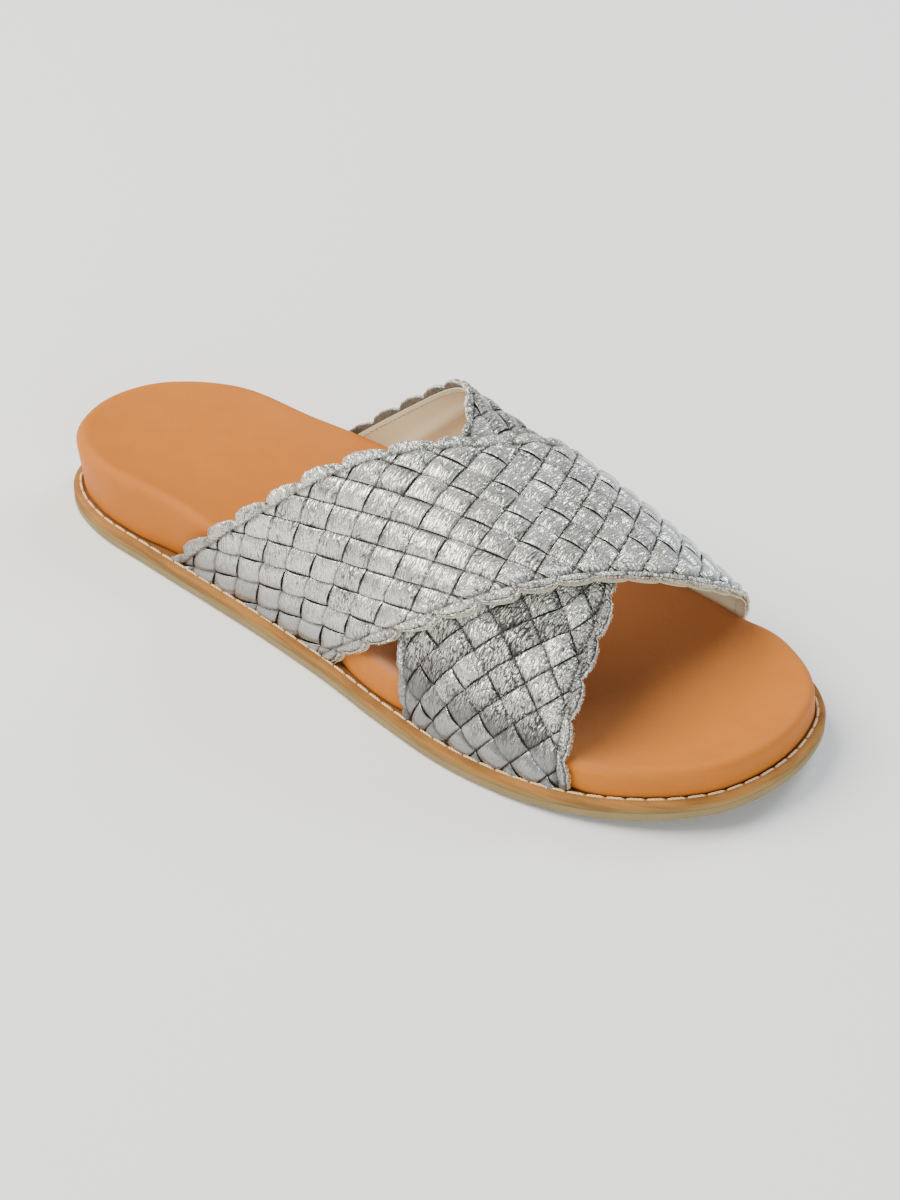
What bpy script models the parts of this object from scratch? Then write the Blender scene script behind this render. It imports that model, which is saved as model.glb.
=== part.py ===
"""Right-foot slide sandal: a stitched-down sole, a moulded footbed and two woven straps that cross.

Sizes are in millimetres and become metres when a mesh is made.
+X points to the toe, -Y to the outer side of the foot and +Z up; the ground is at Z = 0.
"""

import bmesh
import bpy
import numpy as np


class Table:
    """Rows of sections with named columns; each column is read along a smooth curve through its rows."""

    def __init__(self, columns, *rows):
        self.columns = dict(zip(columns.split(), np.array(rows, float).T))
        self.knots = self.columns[columns.split()[0]]

    def at(self, column, place):
        knots = self.knots
        values = self.columns[column]
        slopes = np.gradient(values, knots)
        place = np.clip(place, knots[0], knots[-1])
        row = np.clip(np.searchsorted(knots, place) - 1, 0, len(knots) - 2)
        span = knots[row + 1] - knots[row]
        part = (place - knots[row]) / span
        left = 1 - part
        return (
            values[row] * (1 + 2 * part) * left**2
            + values[row + 1] * part**2 * (1 + 2 * left)
            + slopes[row] * span * part * left**2
            - slopes[row + 1] * span * part**2 * left
        )


# Driving sizes
METRES = 0.001
SOLE_LENGTH = 262.0
BALL_HALF_WIDTH = 50.3
TOE_SPRING = 6.0
SPRING_START = 0.70
GAP = 0.3

# Sole layers
OUTSOLE_TOP = 2.9
OUTSOLE_EDGE = 1.0
WELT_TOP = 6.0
WELT_EDGE = 0.8
FOOTBED_ROUND = 4.0
FOOTBED_TUCK = 0.4
TUCK_HEIGHT = 1.2
RIM_TURNS = (0, 30, 60, 90)
DISH_SHARES = (0.9, 0.75, 0.55, 0.3, 0.0)
DISH_POWER = 2.4
SPINE_END = 0.16
STATIONS = 32
WELD = 0.001
SHARP_ANGLE = 40

# Straps
WALL = 1.8
RAISED = 0.6
STRIP_GAP = 0.9
STRAP_INSET = 3.0
CROSSING_LIFT = 1.1
LIFT_FADES = 0.72
CREST_OFFSET = 8.3
SECTION_POWER = 2.36
SECTION_POINTS = 181
NORMAL_STEP_X = 1.0
NORMAL_STEP_AROUND = 0.02
BRAID_ROWS = 10
LOBE = 0.35

# Outline of the sole, by share of its length from the heel: half width over the ball's, and middle line
OUTLINE = Table(
    "share half_width middle",
    (0.00, 0.000, -2.4),
    (0.02, 0.352, -2.3),
    (0.05, 0.508, -1.8),
    (0.10, 0.643, -0.5),
    (0.20, 0.722, 0.6),
    (0.30, 0.757, 0.5),
    (0.40, 0.790, 0.0),
    (0.50, 0.850, -0.2),
    (0.60, 0.941, -0.2),
    (0.70, 1.000, 0.0),
    (0.75, 0.992, 0.1),
    (0.80, 0.966, 0.5),
    (0.85, 0.909, 1.2),
    (0.90, 0.812, 2.3),
    (0.95, 0.636, 3.0),
    (0.98, 0.444, 3.1),
    (1.00, 0.000, 2.9),
)
WIDTH_SQUARES = Table("share square", *zip(OUTLINE.knots, OUTLINE.columns["half_width"] ** 2))

# Footbed: how far its side stands in from the sole's edge and leans out, its rim on both sides, its floor
FOOTBED = Table(
    "share inset lean outer_rim inner_rim floor",
    (0.00, 3.5, 1.5, 24.6, 24.6, 20.6),
    (0.12, 3.5, 1.3, 24.3, 24.9, 20.2),
    (0.20, 5.2, -0.4, 23.8, 25.4, 19.8),
    (0.30, 5.2, -0.4, 22.6, 26.2, 19.2),
    (0.40, 5.2, -0.4, 20.8, 25.2, 18.2),
    (0.50, 5.2, -0.4, 18.6, 21.8, 16.5),
    (0.60, 5.2, -0.4, 16.8, 18.8, 14.6),
    (0.70, 5.2, -0.4, 15.6, 17.8, 13.0),
    (0.80, 5.2, -0.4, 14.8, 17.2, 11.8),
    (0.85, 5.2, -0.4, 14.5, 16.6, 11.4),
    (0.90, 3.6, -0.4, 14.3, 15.7, 11.1),
    (0.95, 3.4, -0.4, 14.2, 14.8, 11.0),
    (1.00, 3.4, -0.4, 14.2, 14.2, 11.4),
)

# Height of the foot's last over the straps' lower ends
INSTEP = Table(
    "share height",
    (0.15, 92.0),
    (0.30, 83.0),
    (0.45, 71.7),
    (0.60, 57.3),
    (0.75, 40.8),
    (0.90, 18.0),
)

# Edges of each strap, by place around the last: -1 at its outer end, 0 on the crest, 1 at its inner end
TOP_STRAP = Table(
    "around rear front",
    (-1.0, -68.8, -0.6),
    (-0.5, -21.4, 45.6),
    (0.0, 16.0, 71.9),
    (0.5, 29.0, 88.3),
    (1.0, 37.6, 83.6),
)
UNDER_STRAP = Table(
    "around rear front",
    (-1.0, 36.0, 89.5),
    (-0.5, 25.7, 82.6),
    (0.0, 14.0, 69.5),
    (0.5, -25.8, 33.9),
    (1.0, -76.4, -1.4),
)

# The braid of each strap: where its strips cross, counted around the last, and how each row leans on
TOP_BRAID = {"start": -0.540, "lean": 0.0332, "pitch": 0.1237}
UNDER_BRAID = {"start": -1.173, "lean": 0.1024, "pitch": 0.1572}


def sole_share(x):
    return x / SOLE_LENGTH + 0.5


def half_width(share):
    """Half width of the sole; its square is what runs smoothly into the round heel and toe."""
    return BALL_HALF_WIDTH * np.sqrt(np.maximum(WIDTH_SQUARES.at("square", share), 0))


def spring(share):
    """Rise of the sole towards the toe."""
    return TOE_SPRING * np.clip((share - SPRING_START) / (1 - SPRING_START), 0, 1) ** 2


def ring_shares():
    """Stations along the outer side from heel to toe and back along the inner side, closer at the ends."""
    there = 0.5 - 0.5 * np.cos(np.pi * np.arange(STATIONS + 1) / STATIONS)
    return np.concatenate([there, there[-2:0:-1]])


def ring_sides():
    """-1 for a station on the outer side, 1 for one on the inner side, 0 at heel and toe."""
    side = np.ones(STATIONS - 1)
    return np.concatenate([[0], -side, [0], side])


def outline(inset):
    """Points round the sole's outline in plan, moved in from its edge."""
    share = ring_shares()
    points = np.stack(
        [
            (share - 0.5) * SOLE_LENGTH,
            OUTLINE.at("middle", share) + ring_sides() * half_width(share),
        ],
        axis=1,
    )
    along = np.roll(points, -1, axis=0) - np.roll(points, 1, axis=0)
    along /= np.linalg.norm(along, axis=1)[:, None]
    inward = np.stack([-along[:, 1], along[:, 0]], axis=1)
    return points + inward * np.reshape(inset, (-1, 1))


def spine():
    """The middle line that the faces above and below a sole layer close on, a point for each station."""
    share = np.clip(ring_shares(), SPINE_END, 1 - SPINE_END)
    return np.stack([(share - 0.5) * SOLE_LENGTH, OUTLINE.at("middle", share)], axis=1)


def raised_ring(plan, height):
    """A ring of points at a height over the sprung ground."""
    lift = height + spring(sole_share(plan[:, 0]))
    return np.column_stack([plan, lift])


def principled(name, color, roughness, metallic=0.0):
    material = bpy.data.materials.new(name)
    material.use_nodes = True
    shader = material.node_tree.nodes["Principled BSDF"]
    shader.inputs["Base Color"].default_value = (*color, 1)
    shader.inputs["Roughness"].default_value = roughness
    shader.inputs["Metallic"].default_value = metallic
    return material


def mesh_object(name, bm, material, collection):
    """Turns a mesh in millimetres into a named object in metres."""
    bmesh.ops.scale(bm, vec=(METRES, METRES, METRES), verts=bm.verts)
    bmesh.ops.recalc_face_normals(bm, faces=bm.faces)
    mesh = bpy.data.meshes.new(name)
    bm.to_mesh(mesh)
    bm.free()
    mesh.shade_smooth()
    mesh.set_sharp_from_angle(angle=np.radians(SHARP_ANGLE))
    mesh.materials.append(material)
    obj = bpy.data.objects.new(name, mesh)
    collection.objects.link(obj)
    return obj


def loft(rings):
    """A closed solid through rings of points, whose first and last rings lie folded on the spine."""
    bm = bmesh.new()
    loops = [[bm.verts.new(point) for point in ring] for ring in rings]
    count = len(loops[0])
    for lower, upper in zip(loops, loops[1:]):
        for k in range(count):
            following = (k + 1) % count
            bm.faces.new((lower[k], lower[following], upper[following], upper[k]))
    bmesh.ops.remove_doubles(bm, verts=bm.verts, dist=WELD)
    return bm


def make_outsole(collection):
    rings = [
        raised_ring(spine(), 0),
        raised_ring(outline(OUTSOLE_EDGE), 0),
        raised_ring(outline(0), OUTSOLE_EDGE),
        raised_ring(outline(0), OUTSOLE_TOP),
        raised_ring(spine(), OUTSOLE_TOP),
    ]
    return mesh_object("outsole", loft(rings), principled("gum", (0.25, 0.15, 0.05), 0.6), collection)


def make_welt(collection):
    bottom = OUTSOLE_TOP + GAP
    rings = [
        raised_ring(spine(), bottom),
        raised_ring(outline(0), bottom),
        raised_ring(outline(0), WELT_TOP - WELT_EDGE),
        raised_ring(outline(WELT_EDGE / 2), WELT_TOP - WELT_EDGE / 4),
        raised_ring(outline(2 * WELT_EDGE), WELT_TOP),
        raised_ring(spine(), WELT_TOP),
    ]
    return mesh_object("welt", loft(rings), principled("welt_leather", (0.36, 0.19, 0.08), 0.55), collection)


def footbed_side_rings(inset, lean, rim):
    """The side from the welt, tucked in a little at its foot and leaning to the rounded rim."""
    bottom = WELT_TOP + GAP
    rings = [
        raised_ring(spine(), bottom),
        raised_ring(outline(inset + FOOTBED_TUCK), bottom),
        raised_ring(outline(inset), bottom + TUCK_HEIGHT),
    ]
    for turn in np.radians(RIM_TURNS):
        round_in = FOOTBED_ROUND * (1 - np.cos(turn)) - lean
        round_down = FOOTBED_ROUND * (1 - np.sin(turn))
        rings.append(raised_ring(outline(inset + round_in), rim - round_down))
    return rings


def footbed_top_rings(inset, lean, rim):
    """The hollowed top, from just inside the rim down to the floor on the spine."""
    edge = outline(inset + FOOTBED_ROUND - lean)
    floor = FOOTBED.at("floor", sole_share(spine()[:, 0]))
    rings = []
    for share in DISH_SHARES:
        plan = spine() + share * (edge - spine())
        rings.append(raised_ring(plan, floor + (rim - floor) * share**DISH_POWER))
    return rings


def make_footbed(collection):
    share = ring_shares()
    outer, inner = (FOOTBED.at(column, share) for column in ("outer_rim", "inner_rim"))
    rim = outer + (inner - outer) * (1 + ring_sides()) / 2
    inset = FOOTBED.at("inset", share)
    lean = FOOTBED.at("lean", share)
    rings = footbed_side_rings(inset, lean, rim) + footbed_top_rings(inset, lean, rim)
    return mesh_object("footbed", loft(rings), principled("tan_leather", (0.62, 0.29, 0.11), 0.5), collection)


def last_section(x):
    """The straps' section over the foot at a place along the shoe: Y, Z and length round from the outer end."""
    share = sole_share(x)
    turn = np.linspace(0, np.pi, SECTION_POINTS)
    reach = half_width(share) - STRAP_INSET
    middle = OUTLINE.at("middle", share)
    to_outer = reach - middle + CREST_OFFSET
    to_inner = reach + middle - CREST_OFFSET
    swing = np.sign(np.cos(turn)) * np.abs(np.cos(turn)) ** (2 / SECTION_POWER)
    y = CREST_OFFSET - np.where(swing > 0, to_outer, to_inner) * swing
    base = WELT_TOP + GAP + spring(share)
    z = base + INSTEP.at("height", share) * np.sin(turn) ** (2 / SECTION_POWER)
    length = np.concatenate([[0], np.cumsum(np.hypot(np.diff(y), np.diff(z)))])
    return y, z, length


def last_point(x, around):
    """A point on the last, with its place around the section from -1 to 1."""
    y, z, length = last_section(x)
    reached = (around + 1) / 2 * length[-1]
    return np.array([x, np.interp(reached, length, y), np.interp(reached, length, z)])


def last_normal(x, around):
    """Outward direction of the last."""
    low, high = np.clip([around - NORMAL_STEP_AROUND, around + NORMAL_STEP_AROUND], -1, 1)
    forward = last_point(x + NORMAL_STEP_X, around) - last_point(x - NORMAL_STEP_X, around)
    across = last_point(x, high) - last_point(x, low)
    normal = np.cross(forward, across)
    return normal / np.linalg.norm(normal)


def strap_point(edges, row, around, lift):
    """A place on the inner face of a strap: a braid row across it and a place around the last."""
    across = np.clip(row, -LOBE, BRAID_ROWS + LOBE) / BRAID_ROWS
    rear = edges.at("rear", around)
    x = rear + across * (edges.at("front", around) - rear)
    fade = np.clip((1 - abs(around)) / (1 - LIFT_FADES), 0, 1)
    return last_point(x, around) + (lift * fade - WALL) * last_normal(x, around)


def braid_cells(braid):
    """Corners of each braid cell as (row, place) pairs, with the places that lie beyond the ends pulled in."""
    reach = int(2 / braid["pitch"]) + BRAID_ROWS

    def corner(row, place):
        around = braid["start"] + braid["lean"] * row + braid["pitch"] * place
        return row, float(np.clip(around, -1, 1))

    for row in range(BRAID_ROWS + 1):
        for place in range(-reach, reach):
            cell = (
                corner(row, place),
                corner(row + 1, place),
                corner(row, place + 1),
                corner(row - 1, place + 1),
            )
            if len({around for _, around in cell}) > 1:
                yield cell


def make_strap(name, edges, braid, lift, material, collection):
    """One woven strap: a wall on the last, with each strip's crossing raised on its outer side."""
    bm = bmesh.new()
    whole = bm.faces.layers.int.new("whole")
    corners = {}
    for cell in braid_cells(braid):
        for corner in cell:
            if corner not in corners:
                corners[corner] = bm.verts.new(strap_point(edges, *corner, lift))
        face = bm.faces.new([corners[corner] for corner in cell])
        face[whole] = all(abs(around) < 1 for _, around in cell)
    bm.normal_update()
    grown = bmesh.ops.extrude_face_region(bm, geom=bm.faces[:], use_keep_orig=True)["geom"]
    outer_corners = [item for item in grown if isinstance(item, bmesh.types.BMVert)]
    for vertex in outer_corners:
        vertex.co += vertex.normal * WALL
    cells = [item for item in grown if isinstance(item, bmesh.types.BMFace) and item[whole]]
    bmesh.ops.inset_individual(bm, faces=cells, thickness=STRIP_GAP, depth=RAISED, use_even_offset=True)
    return mesh_object(name, bm, material, collection)


def make_upper(collection, helpers):
    """Both straps as one body: the under strap, joined to the top strap where they cross."""
    silver = principled("woven_leather", (0.42, 0.41, 0.39), 0.35, 0.6)
    upper = make_strap("upper", UNDER_STRAP, UNDER_BRAID, 0, silver, collection)
    top_strap = make_strap("top_strap", TOP_STRAP, TOP_BRAID, CROSSING_LIFT, silver, helpers)
    top_strap.hide_render = True
    top_strap.display_type = "WIRE"
    crossing = upper.modifiers.new("crossing", "BOOLEAN")
    crossing.operation = "UNION"
    crossing.object = top_strap
    return upper


def main():
    for obj in list(bpy.data.objects):
        bpy.data.objects.remove(obj)
    sandal = bpy.data.collections.new("woven_sandal")
    helpers = bpy.data.collections.new("joined_pieces")
    for collection in (sandal, helpers):
        bpy.context.scene.collection.children.link(collection)
    make_outsole(sandal)
    make_welt(sandal)
    make_footbed(sandal)
    make_upper(sandal, helpers)


main()
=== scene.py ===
"""Looks of the right-foot woven slide sandal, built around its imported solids.

Sizes are in millimetres and become metres when a mesh is made; lamps and floor are in metres.
+X points to the toe, -Y to the outer side of the foot and +Z up; the ground is at Z = 0.
A pair such as FAR_SIDE gives where an effect starts and where it is full.
"""

from dataclasses import dataclass

import bmesh
import bpy
import numpy as np
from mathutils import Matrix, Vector


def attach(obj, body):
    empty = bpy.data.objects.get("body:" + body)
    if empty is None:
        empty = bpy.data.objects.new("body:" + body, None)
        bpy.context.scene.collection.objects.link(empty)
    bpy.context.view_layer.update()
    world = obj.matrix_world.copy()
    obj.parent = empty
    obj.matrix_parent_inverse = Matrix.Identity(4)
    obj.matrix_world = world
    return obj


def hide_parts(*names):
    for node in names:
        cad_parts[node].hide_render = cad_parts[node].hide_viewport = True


METRES = 0.001


class Table:
    """Rows of sections with named columns; each column is read along a smooth curve through its rows."""

    def __init__(self, columns, *rows):
        self.columns = dict(zip(columns.split(), np.array(rows, float).T))
        self.knots = self.columns[columns.split()[0]]

    def at(self, column, place):
        knots = self.knots
        values = self.columns[column]
        slopes = np.gradient(values, knots)
        place = np.clip(place, knots[0], knots[-1])
        row = np.clip(np.searchsorted(knots, place) - 1, 0, len(knots) - 2)
        span = knots[row + 1] - knots[row]
        part = (place - knots[row]) / span
        left = 1 - part
        return (
            values[row] * (1 + 2 * part) * left**2
            + values[row + 1] * part**2 * (1 + 2 * left)
            + slopes[row] * span * part * left**2
            - slopes[row + 1] * span * part**2 * left
        )


# Camera, as the photo was taken: direction in degrees, distance, and how the frame is shifted
CAMERA_AZIMUTH = 41.13
CAMERA_ELEVATION = 35.90
CAMERA_DISTANCE = 900.0
CAMERA_LENS = 91.62
CAMERA_SHIFT = (0.0239, 0.0130)

# Room, in metres and watts: each lamp's place, what it points at, its size, power and colour
SKY_COLOR = (0.82, 0.91, 1, 1)
SKY_STRENGTH = 0.38
FLOOR_REACH = 20
FLOOR_DROP = 0.0002
LAMPS = {
    "key": ((-0.75, -0.55, 1.3), (0, 0, 0.02), 1.4, 43, (1.0, 0.945, 0.84)),
    "fill": ((1.15, -0.8, 0.55), (0, 0, 0.02), 0.9, 12, (0.9, 0.95, 1.0)),
    "side": ((-1.2, -0.45, 0.75), (0, 0, 0.04), 0.9, 7, (1.0, 0.97, 0.92)),
    "back": ((0.1, 1.3, 1.05), (0, 0, 0.04), 0.8, 16, (0.92, 0.96, 1.0)),
}

# Sole
SOLE_LENGTH = 262.0
BALL_HALF_WIDTH = 50.3
TOE_SPRING = 6.0
SPRING_START = 0.70
STATIONS = 150
SPINE_END = 0.16
OUTSOLE_TOP = 2.9
WELT_BOTTOM = OUTSOLE_TOP + 0.04
WELT_TOP = 6.0
WELT_GROOVE = 5.5
FOOTBED_BOTTOM = 6.1
FOOTBED_ROUND = 3.0
FOOTBED_TUCK = 0.25
TUCK_HEIGHT = 0.9
DISH_POWER = 2.4
DISH_START = 0.95
DISH_RINGS = 20

# Colour of the footbed's top: rings where it sets in, painted shade under the straps, painted light by its
# outer window
TOP_RINGS = (9, 15)
STRAP_SHADE_REAR = (5, 40)
STRAP_SHADE_FRONT = (112, 72)
WINDOW_LIGHT_SIDE = (-24, -36)
WINDOW_LIGHT_REAR = (6, 18)
WINDOW_LIGHT_FRONT = (46, 34)

# Thread: a turn of its plies, how blunt its ends are, and the stitches on the welt
PLIES = 2
PLY_TURN = 1.1
END_POWER = 6
END_SHARE = 0.02
STITCH_INSET = 2.3
STITCH_PITCH = 5.5
STITCH_LENGTH = 5.3
STITCH_RADIUS = 0.39
STITCH_FLATNESS = 0.8
STITCH_RISE = 0.2
STITCH_SINK = 0.45
STITCH_POINTS = 11

# Straps: heights are over the last, rows count across a strap from its rear edge to its front edge
STRAP_INSET = 3.0
CREST_OFFSET = 8.3
SECTION_POWER = 2.36
BRAID_ROWS = 10
LIFT_FADES = 0.72
HALF_GIRTH = 72.0
OUTER_MIDDLE = -0.5
CREST_SIDE = 0.1
NEAR_SIDE = (0.1, -0.3)
FAR_SIDE = (0.1, 0.5)
STRAP_FOOT = (1.0, 0.72)

# Strips of the braid; along a strip a step of one is a cell
OVER_HEIGHT = 0.62
UNDER_HEIGHT = -0.50
STRIP_THICK = 0.6
STRIP_HALF = 0.475
STRIP_TUCK = 0.12
STRIP_RUNS_ON = 1.2
SPARE_STRIPS = 6
CELL_STEPS = (0.0, 0.04, 0.09, 0.15, 0.25, 0.37, 0.5, 0.63, 0.75, 0.85, 0.91, 0.96)
CELL_SLACK = 1e-6
CELL_FULLNESS = 0.65
CELL_VARIES = 0.2
# Painted shade where a strip dives under its neighbours
CELL_DIVE_SHADE = (0, 0.5)
SEAM_SINK = 0.45
SEAM_SINKS = (0.2, -0.05)
SEAM_SHADE = 0.8
SEAM_SHADES = (0.18, 0.0)
SWELL_HEIGHT = 0.35
SWELL_PLACE = 0.35
SWELL_WIDTH = 0.17
PLEAT_PLACE = 0.3
PLEAT_WIDTH = 0.22
PLEATS_BEGIN = (-0.9, -0.3)

# How bright a cell's foil is, as painted highlight and shade: in its middle, towards its lit edge, and at
# random from cell to cell
SHADE_MIDDLE = 0.62
SHADE_LEAN = 0.38
SHADE_VARIES = 0.6

# Numbers that set the grain of one strip apart from another's
STRIP_GRAIN = 7.3
SUM_GRAIN = 500.0
BORDER_GRAIN = 900.0
FRONT_GRAIN = 60.0
LOBE_GRAIN = 3.0

# Half of a strip's section from edge to middle, and its underside: place across, height, share of cut edge
STRIP_TOP = (
    (-0.985, -0.22, 0.3),
    (-0.9, -0.05, 0.0),
    (-0.7, 0.09, 0.0),
    (-0.35, 0.22, 0.0),
    (0.0, 0.27, 0.0),
)
STRIP_UNDER = ((1.0, -0.4, 1.0), (0.97, -STRIP_THICK, 1.0), (-0.97, -STRIP_THICK, 1.0), (-1.0, -0.4, 1.0))

# Rolled borders and the loose fibres on their rims; wrinkles give their size and waves along and out
POINTS_PER_LOBE = 24
PLACES_SEARCHED = (-40, 60)
LOBE_FULLNESS = 0.55
LOBE_SWELL = 0.9
LOBE_LEVEL = 0.75
LOBE_VARIES = 0.1
LOBE_SHADE = 0.9
RIPPLE = 0.02
RIPPLE_WAVES = 3.3
FINE_RIPPLE = 0.015
FINE_RIPPLE_WAVES = 7.1
WRINKLE = 0.1
WRINKLE_SHADE = 0.2
WRINKLES = ((1.0, 2.3, 0.9), (0.7, 4.1, -1.1))
BORDER_SHADE = 0.4
BORDER_PLEAT = 0.6
TOP_OF_FOLD = (0.0, 0.5)
BACK_OF_FOLD = (-0.78, -0.98)
FRAY_PER_LOBE = 40
FRAY_POINTS = 4
FRAY_RADIUS = 0.06
FRAY_ROOT = 0.03
FRAY_LEAN = 0.006
FRAY_REACH = (0.02, 0.13)
FRAY_FROM = (-0.7, 0.1)
FRAY_TO = (-0.9, 0.4)
FRAY_SHORT = 0.4
FRAY_GROWS = (-0.6, 0.2)

# Lining: folds give their depth, their row on the crest, how it changes around the strap, and their width
LINING_OUTER = -1.2
LINING_INNER = -1.8
LINING_SHOWS = 0.04
LINING_POINTS = 420
LINING_ROWS = 40
LINING_EDGE = 0.012
LINING_ROUND = 0.12
LINING_FLAT = 0.03
LINING_FOLDS_BEGIN = 0.12
LINING_FOLDS = ((0.55, 1.4, 1.6, 0.45), (0.70, 6.5, -2.5, 0.8), (0.55, 7.4, 1.0, 0.6))
LINING_STITCH = 2.6
LINING_STITCH_GAP = 0.25
LINING_STITCH_POINTS = 5
LINING_STITCH_RADIUS = 0.2
LINING_STITCH_FLATNESS = 0.7
LINING_STITCH_RISE = 0.05
LINING_SEAM_INSET = 0.25
LINING_SEAM_END = 0.97
LINING_SEAM_POINTS = 3000

# Outline of the sole, by share of its length from the heel: half width over the ball's, and middle line
OUTLINE = Table(
    "share half_width middle",
    (0.00, 0.000, -2.4),
    (0.02, 0.352, -2.3),
    (0.05, 0.508, -1.8),
    (0.10, 0.643, -0.5),
    (0.20, 0.722, 0.6),
    (0.30, 0.757, 0.5),
    (0.40, 0.790, 0.0),
    (0.50, 0.850, -0.2),
    (0.60, 0.941, -0.2),
    (0.70, 1.000, 0.0),
    (0.75, 0.992, 0.1),
    (0.80, 0.966, 0.5),
    (0.85, 0.909, 1.2),
    (0.90, 0.812, 2.3),
    (0.95, 0.636, 3.0),
    (0.98, 0.444, 3.1),
    (1.00, 0.000, 2.9),
)
WIDTH_SQUARES = Table("share square", *zip(OUTLINE.knots, OUTLINE.columns["half_width"] ** 2))

# Edge of the outsole: how far in from the sole's outline, and how high
OUTSOLE_EDGE = ((1.4, 0.0), (0.7, 0.12), (0.25, 0.45), (0.05, 1.0), (0.0, 1.8), (0.05, OUTSOLE_TOP))

# Edge and ledge of the welt: how far in, how high, how far it takes the painted shade of the groove, and how
# far it is the lower, aged part
WELT_EDGE = (
    (0.10, WELT_BOTTOM, 0.0, 1.0),
    (0.00, OUTSOLE_TOP + 0.5, 0.0, 0.9),
    (0.00, OUTSOLE_TOP + 1.2, 0.0, 0.4),
    (0.00, WELT_TOP - 1.1, 0.0, 0.0),
    (0.12, WELT_TOP - 0.6, 0.0, 0.0),
    (0.50, WELT_TOP - 0.15, 0.0, 0.0),
    (1.10, WELT_TOP, 0.0, 0.0),
    (2.75, WELT_TOP, 0.1, 0.0),
    (2.95, WELT_TOP - 0.3, 0.9, 0.0),
    (3.40, WELT_GROOVE, 1.0, 0.0),
    (7.00, WELT_GROOVE, 1.0, 0.0),
)

# Footbed: how far its side stands in from the sole's edge and leans out, its rim on both sides, its floor
FOOTBED = Table(
    "share inset lean outer_rim inner_rim floor",
    (0.00, 3.5, 1.5, 24.6, 24.6, 20.6),
    (0.08, 3.5, 1.5, 24.4, 24.8, 20.4),
    (0.15, 3.5, 0.1, 24.1, 25.2, 20.0),
    (0.18, 3.7, -0.7, 23.9, 25.4, 19.9),
    (0.215, 5.2, -0.3, 23.6, 25.6, 19.7),
    (0.30, 5.2, -0.4, 22.6, 26.2, 19.2),
    (0.40, 5.2, -0.4, 20.8, 25.2, 18.2),
    (0.50, 5.2, -0.4, 18.6, 21.8, 16.5),
    (0.54, 3.6, -0.4, 17.8, 20.3, 15.7),
    (0.60, 3.6, -0.4, 16.8, 18.8, 14.6),
    (0.65, 5.2, -0.4, 16.1, 18.2, 13.8),
    (0.70, 5.2, -0.4, 15.6, 17.8, 13.0),
    (0.80, 5.2, -0.4, 14.8, 17.2, 11.8),
    (0.835, 5.2, -0.4, 14.5, 16.9, 11.4),
    (0.86, 3.5, -0.4, 14.4, 16.4, 11.3),
    (0.92, 3.1, -0.4, 14.3, 15.3, 11.0),
    (1.00, 3.2, -0.4, 14.2, 14.2, 11.4),
)

# Foot of the footbed's side: how far it tucks in, and the share of the tuck's height
FOOTBED_FOOT = ((FOOTBED_TUCK, 0.0), (0.1, 0.5), (0.0, 1.0))

# Height of the foot's last over the straps' lower ends
INSTEP = Table(
    "share height",
    (0.15, 92.0),
    (0.30, 83.0),
    (0.45, 71.7),
    (0.60, 57.3),
    (0.75, 40.8),
    (0.90, 18.0),
)

# Edges of each strap, by place around the last: -1 at its outer end, 0 on the crest, 1 at its inner end
TOP_EDGES = Table(
    "around rear front",
    (-1.0, -68.8, -0.6),
    (-0.5, -21.4, 45.6),
    (0.0, 16.0, 71.9),
    (0.5, 29.0, 88.3),
    (1.0, 37.6, 83.6),
)
UNDER_EDGES = Table(
    "around rear front",
    (-1.0, 36.0, 89.5),
    (-0.5, 25.7, 82.6),
    (0.0, 14.0, 69.5),
    (0.5, -25.8, 33.9),
    (1.0, -76.4, -1.4),
)

# Borders of the straps, in rows inwards from the edge line: seam, dip and peak of the lobes, lining's end
BORDER_COLUMNS = "around seam dip peak lining"
TOP_REAR = Table(
    BORDER_COLUMNS,
    (-1.0, 0.54, 0.18, -0.36, 0.5),
    (-0.3, 0.54, 0.18, -0.32, 0.5),
    (0.0, 0.70, 0.28, -0.10, 0.5),
    (1.0, 0.75, 0.28, -0.10, 0.5),
)
TOP_FRONT = Table(
    BORDER_COLUMNS,
    (-1.0, 0.48, 0.20, -0.38, 0.5),
    (-0.7, 0.50, 0.24, -0.28, 0.5),
    (-0.4, 0.55, 0.28, -0.22, 0.5),
    (-0.2, 0.62, 0.34, 0.06, 0.6),
    (0.0, 0.70, 0.40, 0.22, 0.7),
    (0.5, 0.74, 0.38, 0.26, 0.7),
    (1.0, 0.74, 0.36, 0.28, 0.7),
)
UNDER_REAR = Table(
    BORDER_COLUMNS,
    (-1.0, -0.05, -0.42, -0.70, 0.2),
    (-0.5, 0.0, -0.38, -0.62, 0.2),
    (0.0, 0.42, 0.16, -0.22, 0.33),
    (1.0, 0.50, 0.22, -0.28, 0.33),
)
UNDER_FRONT = Table(
    BORDER_COLUMNS,
    (-1.0, 0.52, 0.17, -0.17, 0.35),
    (1.0, 0.52, 0.17, -0.17, 0.35),
)
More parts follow.
